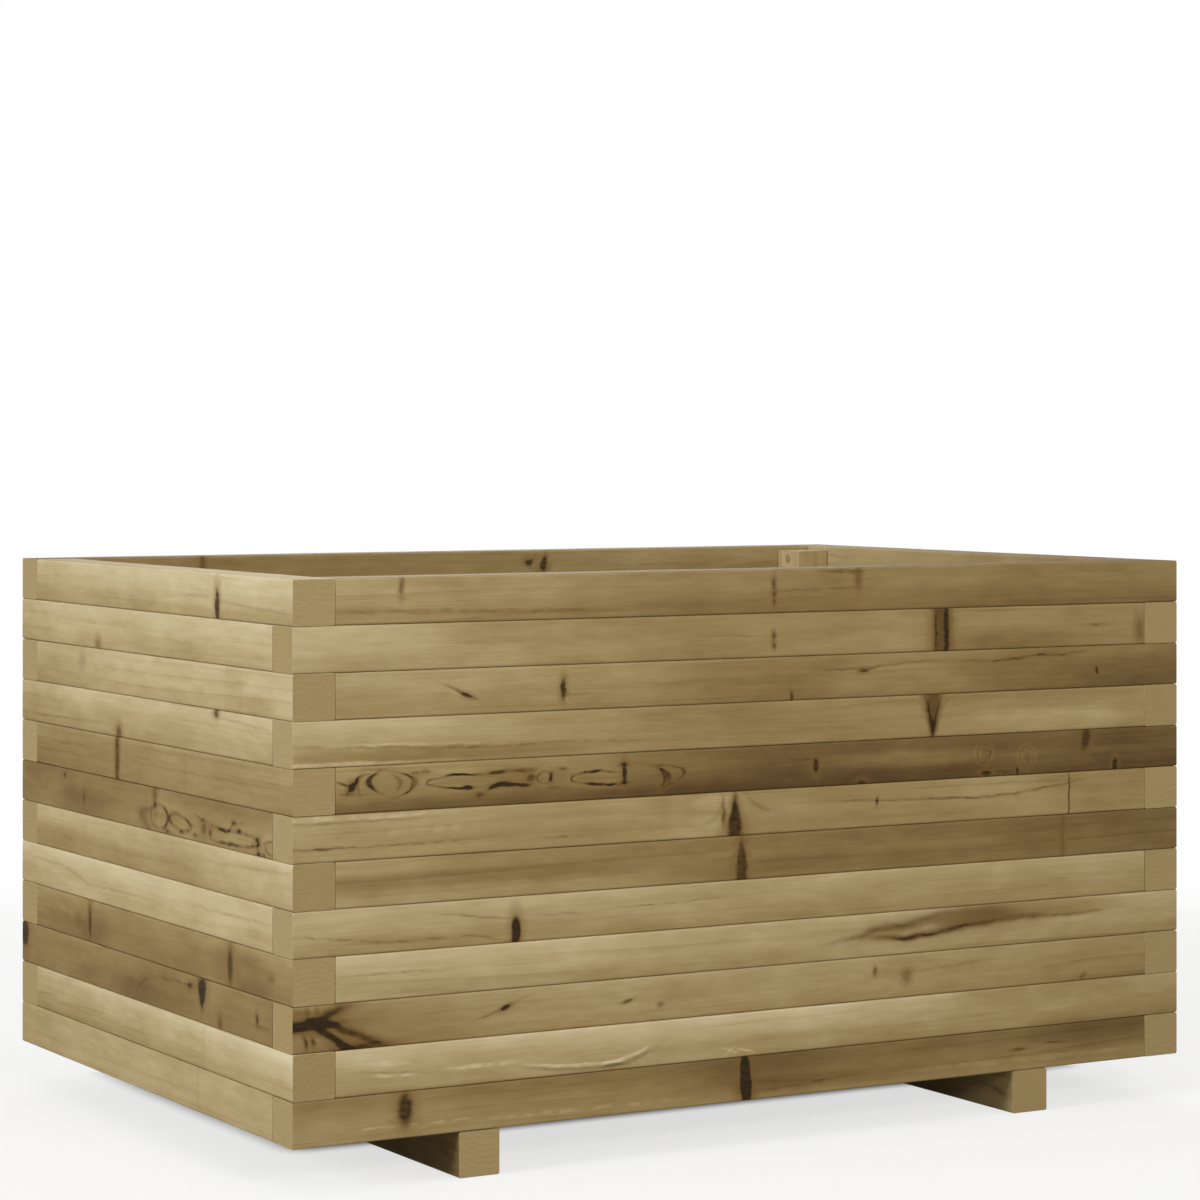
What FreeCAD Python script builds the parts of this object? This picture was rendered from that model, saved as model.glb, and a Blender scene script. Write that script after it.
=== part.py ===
"""A rectangular wooden planter: stacked square bars that mesh at the corners, standing on two skids.

Millimetres. +X runs along the long walls, +Y from the front wall to the back wall, and +Z up. The
origin is on the ground, under the middle of the box.
"""

import FreeCAD, Part
import math
import os

from FreeCAD import Vector

# The walls, measured outside, and the square bars that they are stacked from.
WALL_LENGTH = 900.0
WALL_WIDTH = 600.0
BAR_THICKNESS = 38.0
BAR_HEIGHT = 38.0
COURSE_COUNT = 12

# A small flat eases the four long edges of every timber.
ARRIS = 1.0

# Two skids run from front to back under the walls. The inset is from the box's end to a skid.
SKID_WIDTH = 38.0
SKID_HEIGHT = 38.0
SKID_INSET = 150.0

# A post stands in each inside corner and stops just below the rim.
POST_SIDE = 38.0
POST_BELOW_RIM = 4.0

# The floor boards lie on the skids, with even gaps between them that drain the box.
BOARD_WIDTH = 120.0
BOARD_THICKNESS = 18.0
LEAST_DRAIN_GAP = 8.0
BOARD_END_GAP = 3.0
BOARD_POST_GAP = 2.0

# Countersunk screws. A few flats stand for their round section, as there are over a hundred of them.
SCREW_SIDES = 6
SCREW_DIAMETER = 4.5
SCREW_HEAD_DIAMETER = 9.0
SCREW_HEAD_DEPTH = 4.0
SCREW_TIP_LENGTH = 6.0

# How deep a screw's head is sunk, how far its tip goes into the second timber, and the play in its hole.
SCREW_RECESS = 0.5
SCREW_BITE = 22.5
SCREW_FIT = 0.1
CUT_OVERRUN = 1.0

# In a post the two screws of a course pass each other, one this far above its middle and one below.
SCREW_STAGGER = 6.0
BOARD_SCREW_INSET = 25.0

# Places that follow from the sizes.
INNER_LENGTH = WALL_LENGTH - 2 * BAR_THICKNESS
INNER_WIDTH = WALL_WIDTH - 2 * BAR_THICKNESS
WALL_BOTTOM = SKID_HEIGHT
WALL_TOP = WALL_BOTTOM + COURSE_COUNT * BAR_HEIGHT
FLOOR_TOP = SKID_HEIGHT + BOARD_THICKNESS
SKID_X = (WALL_LENGTH - SKID_WIDTH) / 2 - SKID_INSET
POST_X = (INNER_LENGTH - POST_SIDE) / 2
POST_Y = (INNER_WIDTH - POST_SIDE) / 2

X_AXIS = Vector(1, 0, 0)
Y_AXIS = Vector(0, 1, 0)
Z_AXIS = Vector(0, 0, 1)

# The side of the box that each wall, skid and corner is on.
WALL_OUTWARD = {"front": -Y_AXIS, "back": Y_AXIS, "left": -X_AXIS, "right": X_AXIS}
SKIDS = {"left": -SKID_X, "right": SKID_X}
CORNERS = [(long_wall, end_wall) for long_wall in ("front", "back") for end_wall in ("left", "right")]


def timber(length, width, height, along, centre):
    """A timber with eased long edges, laid along an axis about its centre."""
    half_width = width / 2
    half_height = height / 2
    corner = [
        Vector(-length / 2, half_width, half_height - ARRIS),
        Vector(-length / 2, half_width - ARRIS, half_height),
    ]
    top = corner + [Vector(point.x, -point.y, point.z) for point in reversed(corner)]
    outline = top + [Vector(point.x, point.y, -point.z) for point in reversed(top)]
    section = Part.Face(Part.makePolygon(outline + outline[:1]))
    solid = section.extrude(X_AXIS * length)
    solid.Placement = FreeCAD.Placement(centre, FreeCAD.Rotation(X_AXIS, along))
    return solid


def course_middle(course):
    """The height of a course's middle, where course 0 lies on the skids."""
    return WALL_BOTTOM + (course + 1 / 2) * BAR_HEIGHT


def bar_name(wall, course):
    return f"{wall}_bar_{course + 1:02d}"


def post_name(long_wall, end_wall):
    return f"{long_wall}_{end_wall}_post"


def board_name(index):
    return f"floor_board_{index + 1:02d}"


def wall_bars():
    """Four bars to a course, each moved on by half its thickness, one way and then the other."""
    bars = {}
    for course in range(COURSE_COUNT):
        turn = 1 if course % 2 else -1
        for wall, outward in WALL_OUTWARD.items():
            run = Z_AXIS.cross(outward)
            is_long = outward.x == 0
            length = (WALL_LENGTH if is_long else WALL_WIDTH) - BAR_THICKNESS
            across = (WALL_WIDTH if is_long else WALL_LENGTH) - BAR_THICKNESS
            centre = outward * (across / 2) + run * (turn * BAR_THICKNESS / 2)
            centre.z = course_middle(course)
            along = X_AXIS if is_long else Y_AXIS
            bars[bar_name(wall, course)] = timber(length, BAR_THICKNESS, BAR_HEIGHT, along, centre)
    return bars


def skids():
    return {
        f"{side}_skid": timber(WALL_WIDTH, SKID_WIDTH, SKID_HEIGHT, Y_AXIS, Vector(x, 0, SKID_HEIGHT / 2))
        for side, x in SKIDS.items()
    }


def post_centre(long_wall, end_wall):
    """The middle of a corner post's section, at height 0."""
    return WALL_OUTWARD[end_wall] * POST_X + WALL_OUTWARD[long_wall] * POST_Y


def corner_posts():
    height = WALL_TOP - POST_BELOW_RIM - WALL_BOTTOM
    middle = Z_AXIS * (WALL_BOTTOM + height / 2)
    return {
        post_name(*corner): timber(height, POST_SIDE, POST_SIDE, Z_AXIS, post_centre(*corner) + middle)
        for corner in CORNERS
    }


def board_places():
    """The middle of each floor board across the box, as many as leave the least drain gap."""
    count = math.floor((INNER_WIDTH - LEAST_DRAIN_GAP) / (BOARD_WIDTH + LEAST_DRAIN_GAP))
    gap = (INNER_WIDTH - count * BOARD_WIDTH) / (count + 1)
    pitch = BOARD_WIDTH + gap
    return [(index - (count - 1) / 2) * pitch for index in range(count)]


def floor_boards():
    """Boards between the end walls, notched where they meet the posts."""
    length = INNER_LENGTH - 2 * BOARD_END_GAP
    notch_side = POST_SIDE + 2 * BOARD_POST_GAP
    notch = Part.makeBox(notch_side, notch_side, BOARD_THICKNESS + 2 * CUT_OVERRUN)
    notch.translate(Vector(-notch_side / 2, -notch_side / 2, SKID_HEIGHT - CUT_OVERRUN))
    notches = [notch.translated(post_centre(*corner)) for corner in CORNERS]
    boards = {}
    for index, y in enumerate(board_places()):
        centre = Vector(0, y, SKID_HEIGHT + BOARD_THICKNESS / 2)
        board = timber(length, BOARD_WIDTH, BOARD_THICKNESS, X_AXIS, centre)
        boards[board_name(index)] = board.cut(notches)
    return boards


def faceted_body(rings, tip):
    """A closed body through regular polygons, given as radius and place along Z, to a point on Z."""
    steps = [math.tau * side / SCREW_SIDES for side in range(SCREW_SIDES)]
    loops = [[Vector(r * math.cos(a), r * math.sin(a), z) for a in steps] for r, z in rings]
    outlines = [loops[0]]
    for side in range(SCREW_SIDES):
        for lower, upper in zip(loops, loops[1:]):
            outlines.append([lower[side - 1], lower[side], upper[side], upper[side - 1]])
        outlines.append([loops[-1][side - 1], loops[-1][side], Z_AXIS * tip])
    faces = [Part.Face(Part.makePolygon(points + points[:1])) for points in outlines]
    shell = Part.makeShell(faces)
    shell.sewShape()
    return Part.makeSolid(shell)


def screw(reach):
    """A countersunk screw down +Z from a timber's face at 0, with its tip at that reach."""
    rings = [
        (SCREW_HEAD_DIAMETER / 2, SCREW_RECESS),
        (SCREW_DIAMETER / 2, SCREW_RECESS + SCREW_HEAD_DEPTH),
        (SCREW_DIAMETER / 2, reach - SCREW_TIP_LENGTH),
    ]
    return faceted_body(rings, reach)


def screw_hole(reach):
    """The hole that takes such a screw, open at the face."""
    head = SCREW_HEAD_DIAMETER / 2 + SCREW_FIT
    shank = SCREW_DIAMETER / 2 + SCREW_FIT
    rings = [
        (head, -CUT_OVERRUN),
        (head, SCREW_RECESS),
        (shank, SCREW_RECESS + SCREW_HEAD_DEPTH),
        (shank, reach - SCREW_TIP_LENGTH),
    ]
    return faceted_body(rings, reach + SCREW_FIT)


class Fastening:
    """Screws in named groups, and the holes that they need in each timber."""

    def __init__(self):
        self.groups = {}
        self.holes = {}

    def drive(self, group, head, direction, through, thickness, into):
        """Drive one screw through the first timber, of that thickness, into the second."""
        place = FreeCAD.Placement(head, FreeCAD.Rotation(Z_AXIS, direction)).toMatrix()
        reach = thickness + SCREW_BITE
        self.groups.setdefault(group, []).append(screw(reach).transformed(place))
        hole = screw_hole(reach).transformed(place)
        for name in (through, into):
            self.holes.setdefault(name, []).append(hole)


def drive_post_screws(fastening):
    """One screw from each post into each bar end that it meets."""
    for corner in CORNERS:
        for course in range(COURSE_COUNT):
            for wall, rise in zip(corner, (-SCREW_STAGGER, SCREW_STAGGER)):
                outward = WALL_OUTWARD[wall]
                head = post_centre(*corner) - outward * (POST_SIDE / 2)
                head.z = course_middle(course) + rise
                fastening.drive(
                    "long_screws", head, outward, post_name(*corner), POST_SIDE, bar_name(wall, course)
                )


def drive_skid_screws(fastening):
    """One screw up through each skid into the bottom bar of each long wall."""
    for side, x in SKIDS.items():
        for wall in ("front", "back"):
            head = WALL_OUTWARD[wall] * ((WALL_WIDTH - BAR_THICKNESS) / 2) + X_AXIS * x
            fastening.drive("long_screws", head, Z_AXIS, f"{side}_skid", SKID_HEIGHT, bar_name(wall, 0))


def drive_floor_screws(fastening):
    """Two screws down through each board into each skid."""
    reach = BOARD_WIDTH / 2 - BOARD_SCREW_INSET
    for index, y in enumerate(board_places()):
        for side, x in SKIDS.items():
            for offset in (-reach, reach):
                head = Vector(x, y + offset, FLOOR_TOP)
                fastening.drive(
                    "floor_screws", head, -Z_AXIS, board_name(index), BOARD_THICKNESS, f"{side}_skid"
                )


def main():
    fastening = Fastening()
    drive_post_screws(fastening)
    drive_skid_screws(fastening)
    drive_floor_screws(fastening)

    pieces = {**wall_bars(), **skids(), **corner_posts(), **floor_boards()}
    for name, holes in fastening.holes.items():
        pieces[name] = pieces[name].cut(holes)
    for group, screws in fastening.groups.items():
        pieces[group] = Part.makeCompound(screws)

    os.makedirs("parts", exist_ok=True)
    for name, shape in pieces.items():
        shape.exportStep(f"parts/{name}.step")


main()
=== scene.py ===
"""A wooden planter of stacked pine bars: its timbers and screws, the light and the camera.

Metres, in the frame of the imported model: +X runs along the long walls, +Y from the front wall to the
back wall, and +Z up.
"""

import math
import random
from dataclasses import dataclass

import bmesh
import bpy
from mathutils import Matrix, Vector


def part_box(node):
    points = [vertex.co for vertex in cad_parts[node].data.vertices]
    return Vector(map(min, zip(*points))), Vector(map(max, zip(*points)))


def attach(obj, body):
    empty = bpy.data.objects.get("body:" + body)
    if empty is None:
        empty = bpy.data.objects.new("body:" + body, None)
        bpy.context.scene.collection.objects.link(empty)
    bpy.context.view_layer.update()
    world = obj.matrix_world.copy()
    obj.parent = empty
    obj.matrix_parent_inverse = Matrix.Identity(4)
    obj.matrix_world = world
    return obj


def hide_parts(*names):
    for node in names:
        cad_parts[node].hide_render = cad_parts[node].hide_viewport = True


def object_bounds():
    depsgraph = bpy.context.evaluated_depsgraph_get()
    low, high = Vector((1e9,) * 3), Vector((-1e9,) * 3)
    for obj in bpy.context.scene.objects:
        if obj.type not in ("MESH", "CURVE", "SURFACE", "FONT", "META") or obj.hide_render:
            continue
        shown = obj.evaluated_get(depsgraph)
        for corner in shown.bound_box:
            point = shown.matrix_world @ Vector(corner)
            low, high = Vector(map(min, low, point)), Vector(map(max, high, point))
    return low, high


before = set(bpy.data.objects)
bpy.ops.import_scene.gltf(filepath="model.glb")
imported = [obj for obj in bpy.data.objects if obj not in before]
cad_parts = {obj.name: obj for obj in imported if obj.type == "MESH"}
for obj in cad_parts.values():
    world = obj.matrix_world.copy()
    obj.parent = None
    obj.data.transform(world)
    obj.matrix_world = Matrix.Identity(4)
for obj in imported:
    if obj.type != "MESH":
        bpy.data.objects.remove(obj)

cad_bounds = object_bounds()
scene = bpy.context.scene

# The timbers, named as in the frame.
WALLS = ("front", "back", "left", "right")
CORNERS = [(long_wall, end_wall) for long_wall in ("front", "back") for end_wall in ("left", "right")]
SKIDS = ("left_skid", "right_skid")
BOARDS = sorted(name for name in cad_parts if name.startswith("floor_board_"))
COURSES = range(1, 1 + sum(name.startswith("front_bar_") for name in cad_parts))

# Each wall's outward way, and its turn about Z. Seen from outside, its bars' own X runs to the right.
WALL_OUTWARD = {
    "front": Vector((0, -1, 0)), "back": Vector((0, 1, 0)),
    "left": Vector((-1, 0, 0)), "right": Vector((1, 0, 0)),
}
WALL_TURN = {"front": 0.0, "right": math.pi / 2, "back": math.pi, "left": -math.pi / 2}


def bar_name(wall, course):
    return f"{wall}_bar_{course:02d}"


def post_name(corner):
    return "_".join(corner) + "_post"


# The rounding of a timber's long edges and sawn ends, and how unevenly its faces are planed.
ARRIS_RADIUS = 0.0017
ARRIS_STEPS = 3
END_EASE = 0.0003
END_EASE_STEPS = 2
END_GAP = 0.00025
STATION_SPACING = 0.05
PLANING_DEPTH = 0.00012

# The colour of pine by its tone, which is about how light its red is on screen.
PINE_COLOURS = [
    (0.22, (56, 42, 25)),
    (0.36, (92, 69, 39)),
    (0.46, (117, 94, 57)),
    (0.54, (138, 115, 73)),
    (0.62, (158, 136, 93)),
    (0.70, (179, 159, 118)),
    (0.78, (199, 182, 144)),
    (0.86, (218, 204, 170)),
]
STAIN_COLOUR = (116, 89, 50)
RIM_COLOUR = (90, 64, 25)
KNOT_COLOUR = (40, 29, 12)
# How strong a knot is where its rim's colour begins to turn into its core's, and where it would end.
KNOT_LEVELS = (0.4, 1.15)
MOST_STAIN = 0.8
TONES = {
    "light": 0.725, "fair": 0.69, "plain": 0.655, "tan": 0.62,
    "olive": 0.585, "brown": 0.54, "umber": 0.49, "dark": 0.435,
}
END_TONE = 0.635


@dataclass
class Mark:
    """Something on a timber's outer face: a knot, a line, a loop, or a patch of another tone.

    Places are shares of the timber's length and height, seen from outside. Half widths, half heights and
    thicknesses are shares of its height. A line has a run in place of a width, and an arc a tip as well.
    """

    along_share: float
    up_share: float
    wide_share: float
    high_share: float
    run_shares: tuple = None
    tip_shares: tuple = None
    tilt: float = 0.0
    taper: float = 0.0
    soft: float = 0.5
    dashed: float = 0.0
    shift: float = 0.0
    stain: float = 0.0
    core: float = 0.0
    bulge: float = 0.0
    loop_share: float = 0.0
    opening: float = 0.0


@dataclass
class Look:
    """How one timber looks: its tones from left to right, its painted shading (how much lighter its top
    is), and its marks.
    """

    tones: str
    fade: float
    marks: list


# The functions that make marks take all numbers in hundredths: of a share, a strength or a radian.

def new_mark(*numbers, **more):
    """A mark from its four sizes, and what else it has, by name."""
    def shares(value):
        return [part / 100 for part in value] if isinstance(value, (list, tuple)) else value / 100

    return Mark(*map(shares, numbers), **{name: shares(value) for name, value in more.items()})


def knot(along, up, wide, high, core, stain=55, **more):
    """A knot with a dark core and a browner rim, which the grain bends round."""
    more = {"soft": 80, "bulge": 100, **more}
    return new_mark(along, up, wide, high, core=core, stain=stain, **more)


def speck(along, up, wide, high, core, bulge=20, **more):
    """A small knot, which the grain hardly bends round."""
    return knot(along, up, wide, high, core, bulge=bulge, **more)


def line(start, end, core, thick=2.2, **more):
    """A thin dark line between two places."""
    middle = [(a + b) / 2 for a, b in zip(start, end)]
    run = [b - a for a, b in zip(start, end)]
    more = {"soft": 90, "dashed": 50, "stain": core / 3, **more}
    return new_mark(*middle, 0, thick, run_shares=run, core=core, **more)


def band(start, end, core, thick, soft=90, **more):
    """A line without gaps."""
    return line(start, end, core, thick, soft=soft, dashed=0, **more)


def broken(start, end, core, thick=2.2):
    """A line that is all dashes."""
    return line(start, end, core, thick, dashed=100)


def arc(start, tip, end, core, thick=3, **more):
    """A line that bends through a tip on its way."""
    return line(start, end, core, thick, tip_shares=tip, **more)


def loop(along, up, wide, high, core, thick=5.5, **more):
    """The outline of an oval. An opening of 100 leaves out its right side, and one of -100 its left."""
    return new_mark(along, up, wide, high, core=core, loop_share=thick, **{"dashed": 40, **more})


def streak(start, end, shift, thick=3, **more):
    """A thin line of another tone between two places, with no dark core."""
    return line(start, end, 0, thick, shift=shift, **more)


def patch(along, up, wide, high, shift, **more):
    """A soft patch of another tone."""
    return new_mark(along, up, wide, high, soft=100, shift=shift, **more)


def piece(start, end, shift, seam=30):
    """A length of another tone, glued in with a seam at its left end."""
    tall = 2000
    middle = (start + end) / 2
    tone = new_mark(middle, 50, 0, tall, run_shares=(end - start, 0), soft=1, shift=shift)
    joint = new_mark(start, 40, 2, 70, soft=80, core=seam, stain=seam / 2)
    return [tone, joint]


# The walls that the photograph shows, by course, from the rim down. Each look's number after its tones is
# its painted shading.
FRONT_LOOKS = {}
FRONT_LOOKS[12] = Look("plain brown brown", 0.07, [
    speck(6.9, 80, 5, 17, 45, 30, soft=100), streak((-5, 31), (31, 17), -7, 5),
    speck(48.6, 66, 5, 14, 55, 30), speck(48.6, 43, 4, 5, 60), speck(48.6, 26, 4, 7, 50),
    line((48.7, 49), (58.5, 54), 40), knot(58.8, 78, 8, 22, 40, soft=100),
    streak((54, 92), (59.5, 90), -12, 5),
])
FRONT_LOOKS[11] = Look("light olive olive", 0.06, [
    speck(53, 48, 4.5, 10, 60), speck(53, 24, 4, 6, 60), line((45, 53), (51.5, 49), 20),
    patch(28, 80, 320, 35, -5), patch(64, 22, 180, 28, 5), patch(83, 22, 160, 28, -4),
    knot(73.55, 45, 20, 120, 60, 80, soft=50), knot(72.7, 50, 4, 100, 35), knot(74.2, 50, 8, 120, 40),
    line((76, 93), (83, 92), 30), line((92.2, 52), (94.9, 51), 40, 3), knot(99.3, 36, 10, 22, 30, soft=100),
])
FRONT_LOOKS[10] = Look("plain olive umber", 0.09, [
    line((11.5, 66), (13.9, 45), 50, 3), knot(13.8, 43, 13, 5, 75, tilt=-35),
    line((13.9, 43), (15.2, 28), 45, 2.6), streak((12.1, 52), (13.6, 41), 10),
    line((11.6, 79), (14.1, 83), 15), knot(24.4, 48, 7, 21, 80), streak((24.6, 31), (25, 20), 8),
    line((25, 36), (27.2, 34), 35, 3), line((36.4, 89), (44.8, 81), 12), speck(50.7, 7, 4, 12, 80),
    line((55, 66), (59.2, 66), 50, 3), speck(59.4, 62, 12, 5, 50, 40), line((59.2, 60), (61.6, 72), 50, 3),
    line((61, 71), (68.5, 79), 45), line((71.2, 76), (77.2, 72), 45), line((76.2, 72), (82, 84), 60, 3.5),
    line((81, 82), (84.8, 81), 55, 3.2), line((84, 81), (88, 92), 50), patch(45, 50, 240, 70, -5),
    patch(63, 35, 200, 40, 4), patch(94, 35, 220, 40, -5), knot(89.2, 41, 5, 9, 80, 70),
])
FRONT_LOOKS[9] = Look("fair olive tan", 0.05, [
    patch(6, 75, 360, 30, 4), broken((-1, 46), (12, 35), 30), broken((11, 36), (20, 29), 35),
    broken((18, 29), (30, 31), 30), broken((28, 32), (44, 22), 25), streak((6, 45), (22, 37), 7),
    patch(15, 20, 380, 17, -8), streak((-6, 5), (15.5, 4), 12, 5),
    knot(72.45, 60, 13, 62, 60, 80, taper=80, soft=50), band((71.45, 105), (72.25, 10), 50, 5),
    band((73.45, 105), (72.65, 10), 40, 5), knot(72.4, 22, 6, 20, 60), patch(86, 25, 360, 26, 6),
    patch(84, 80, 320, 20, -3), patch(46, 82, 200, 30, -4.5),
])
FRONT_LOOKS[8] = Look("brown dark dark", 0.12, [
    patch(19, 62, 440, 40, 5), patch(0, 80, 80, 25, 5), patch(20, 6, 600, 22, -5),
    speck(1.65, 57, 7, 10, 80, 30), line((-0.3, 71), (1.8, 56), 60, 3.5),
    band((2.4, 75), (1.2, 44), 85, 4.5), line((0, 42), (3.5, 40), 35),
    arc((4.84, 92), (3.48, 64), (4.84, 41), 85, 7), arc((4.3, 96), (2.4, 72), (3, 52), 50, 4.5),
    arc((6.2, 93), (8.31, 61), (6.41, 39), 80, 7), arc((5.99, 84), (6.72, 62), (6.3, 46), 55, 5),
    line((7.9, 80), (8.8, 80), 65, 3.5), line((9, 81), (9.9, 81), 65, 3.5),
    loop(13.8, 56.5, 95, 14, 75, opening=100), line((11.2, 72), (15.3, 70.5), 65, 3),
    line((11.2, 44), (14.7, 39), 55, 2.8), speck(13.97, 42, 11, 5, 75), speck(15.26, 25, 10, 5, 65),
    line((16, 71.5), (18.9, 73.8), 85, 4.5), line((19.1, 73), (21.3, 71), 80, 4.5),
    band((16.05, 38), (17.8, 47), 90, 5), band((17.2, 46.5), (19.2, 45), 90, 5.5),
    band((18.6, 45.5), (20.8, 40), 90, 4.2), speck(20.82, 56, 12, 7, 65), loop(22.3, 54.5, 17, 12, 75),
    speck(23.08, 54.5, 5, 10, 70), line((22.4, 34.5), (23.9, 31), 65, 3.5), speck(24.35, 72, 9, 3, 50),
    loop(29, 47, 83, 14, 75, tilt=-4, opening=100), line((26.2, 62), (28.9, 65.5), 65, 3.5),
    line((27, 36), (31, 29.5), 70, 3.5), speck(31.26, 55, 5.5, 21, 90, 30), speck(31.23, 74, 11, 4, 75),
    speck(31.28, 35, 10, 4, 65), arc((34.9, 67), (35.9, 44), (35.2, 21), 100, 7),
    arc((35.5, 62), (36.4, 43), (35.8, 22), 75, 4.5), arc((36.31, 70), (38.04, 53), (36.77, 28), 85, 5.5),
    line((36.9, 30), (35.55, 16), 65, 3.5), line((34.6, 69), (36.3, 68.5), 55, 3),
    patch(70, 90, 600, 30, -5), patch(52, 18, 440, 35, -5), patch(95, 85, 160, 30, -5),
    knot(53.6, 48, 8, 17, 90, 80), line((50.5, 66), (53.4, 62), 65, 3.5), knot(59.2, 2, 14, 8, 85),
    patch(65.5, 55, 240, 20, 8), loop(74.5, 55, 20, 22, 65),
    arc((74.2, 70), (75.25, 55), (74.4, 42), 75, 5.5), knot(74.7, 8, 15, 7, 85),
    line((75, 10), (78.8, 12), 55, 3), knot(78.8, 10, 4.5, 10, 85), loop(80, 42, 20, 26, 50),
    knot(87.7, 80, 13, 32, 80, soft=120, tilt=-20), knot(91.6, 10, 8, 20, 95, soft=80),
])
FRONT_LOOKS[7] = Look("plain tan tan", 0.04, [
    streak((-4, 90), (16, 93), 8, 5), line((-2, 81), (12.5, 83), 30),
    streak((5, 55), (20, 58), 2.5, 10, dashed=100), line((-1, 30), (7, 28), 60),
    broken((6, 28), (20, 31), 35), broken((27, 25), (31.2, 22), 50),
    knot(48.4, 34, 17, 56, 85, 70, taper=-62), speck(47.05, 45, 4, 12, 50, 30), patch(46, 80, 160, 35, -4),
    loop(45.2, 55, 75, 40, 10, 16), loop(46, 55, 35, 20, 10, 14), line((47, 88), (47.15, 55), 45, 3),
    arc((50, 90), (51.5, 62), (54.5, 40), 25, 5), arc((44.8, 25), (46.4, 50), (46.8, 80), 20, 5),
    line((61, 66), (66, 61), 40), speck(65.5, 60, 3, 8, 70, 30), line((66, 60), (79, 52), 50, 3),
    arc((75, 53), (83.5, 59), (89.7, 77), 50, 3), line((71, 85), (90, 83), 25), patch(95, 85, 200, 30, -6),
    patch(66, 85, 240, 25, -4), *piece(89.9, 105, 0, 75),
])
FRONT_LOOKS[6] = Look("tan brown umber", -0.02, [
    patch(4, 86, 160, 22, 5), patch(10, 50, 450, 16, -4), patch(15, 12, 500, 18, 4),
    knot(44.75, 30, 15, 62, 80, 60, taper=-35, soft=75), knot(84.7, 48, 6, 80, 25, 35, soft=120),
    patch(80, 50, 120, 60, -3), patch(54, 18, 360, 32, -4.5), patch(93, 40, 180, 60, -3),
])
FRONT_LOOKS[5] = Look("fair plain plain", 0.10, [
    broken((-1, 49), (10, 23), 35), broken((8, 24), (19.5, 21), 40), line((18.5, 22), (23, 5), 30),
    line((16, 73), (23, 52), 35), knot(23.6, 24, 11.5, 30, 110, 60), broken((26, 57), (30.5, 52), 30),
    broken((35, 58), (46.8, 64), 35), broken((70, 30), (95, 36), 12),
])
FRONT_LOOKS[4] = Look("light fair plain", 0.12, [
    broken((0, 57), (11.5, 54), 30), line((5, 16), (13.5, 8), 20, 6),
    line((55, 38), (60, 52), 30, 5, dashed=20), band((59, 46), (61.2, 66), 35, 7, 160),
    band((60.4, 64), (65, 66), 45, 7, 160), band((64, 64), (69.2, 88), 40, 7, 160),
    patch(62.8, 52, 85, 16, -6, stain=20), band((60.6, 44), (65.2, 36), 55, 5.5, 140),
    band((64, 36), (68.2, 42), 70, 5.5, 140), band((67.4, 41), (72.2, 55), 60, 5.5, 140),
    band((71.2, 54), (78, 62), 40, 6, 160), streak((64, 46), (69, 64), 9, 6),
    patch(73, 74, 115, 22, -11, stain=45, core=28), streak((76, 64), (82, 66), -10, 7),
    line((79, 66), (85, 61), 35, 4), line((84, 61), (90, 64), 40, 3.5), patch(82, 84, 220, 26, -11),
    patch(36, 20, 360, 25, -3.5), patch(74, 16, 300, 20, 4),
])
FRONT_LOOKS[3] = Look("tan plain olive", 0.08, [
    patch(3, 50, 160, 90, -2, stain=25), band((-3, 56), (4.6, 60), 100, 12.5, 120, stain=50),
    band((1.6, 62), (5.6, 95), 80, 10, 160, stain=40), band((2.6, 68), (9.2, 8), 80, 7.5, 140, stain=50),
    band((2.2, 58), (6.6, -8), 100, 9, 120, stain=50), band((4.6, 3), (9.2, 3), 80, 10, 160, stain=40),
    band((1.2, 38), (1.45, 10), 70, 5, 140), band((2, 34), (2.15, 14), 70, 5, 140),
    band((1.5, 95), (1.55, 74), 40, 5, 160), band((2.4, 98), (2.45, 80), 30, 5, 160),
    line((19.2, 38), (22.6, 60), 40, 3), knot(22.45, 60, 12, 4.5, 85, tilt=50),
    line((22.2, 60), (25.2, 84), 30, 3), speck(36, 50, 12, 3.5, 65, 30, tilt=25), speck(39.8, 35, 6, 4, 20),
    knot(65.2, 67, 5, 8, 50), knot(69.1, 48, 11, 12, 25, soft=90, bulge=160),
    line((69.5, 55), (80, 71), 20, 3.5), speck(91.7, 10, 8, 5, 45, tilt=40),
])
FRONT_LOOKS[2] = Look("fair light tan", 0.13, [
    patch(4.1, 70, 70, 22, 3), broken((3, 48), (9.5, 37), 30), streak((3, 40), (9, 32), 8, 4.5, dashed=80),
    streak((3, 66), (7.5, 60), 6, 5, dashed=80), streak((11.5, 39), (19.5, 40), 10, 4.5, dashed=80),
    arc((20, 24), (26, 11), (31, 11), 30, 4), arc((28.5, 9), (31.5, 15), (34.2, 34), 45, 4.5),
    arc((20, 31), (26, 19), (30.5, 19), 0, 4, shift=13),
    arc((28.5, 17), (31.3, 24), (33.7, 42), 0, 4.5, shift=16), streak((42.6, 24), (44.4, 9), 10),
    streak((42.8, 10), (44, 26), 8), streak((44.3, 19), (46.2, 10), 10), patch(82, 88, 260, 30, -8),
    patch(52, 20, 350, 25, -5), patch(90, 18, 240, 22, -3),
])
FRONT_LOOKS[1] = Look("tan brown brown", -0.11, [
    streak((6, 29), (20, 27), 9, dashed=100), streak((20, 22), (46, 20), 6, 5, dashed=100),
    knot(11.7, 62, 18, 36, 85, 50, soft=100), knot(49.65, 48, 15, 66, 120, 70, tilt=6, soft=60),
    patch(52, 70, 180, 50, -5), patch(57, 34, 200, 16, -5, tilt=-2, stain=30),
    line((50.5, 42), (59, 29), 40, 4), arc((50.5, 22), (56, 24), (64, 38), 35, 4),
    line((82.2, 53), (84.5, 50), 60, 3), line((86.8, 63), (89.6, 59), 60, 3),
    streak((66, 28), (102, 26), 5, 6), patch(93, 80, 180, 30, -8),
])

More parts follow.
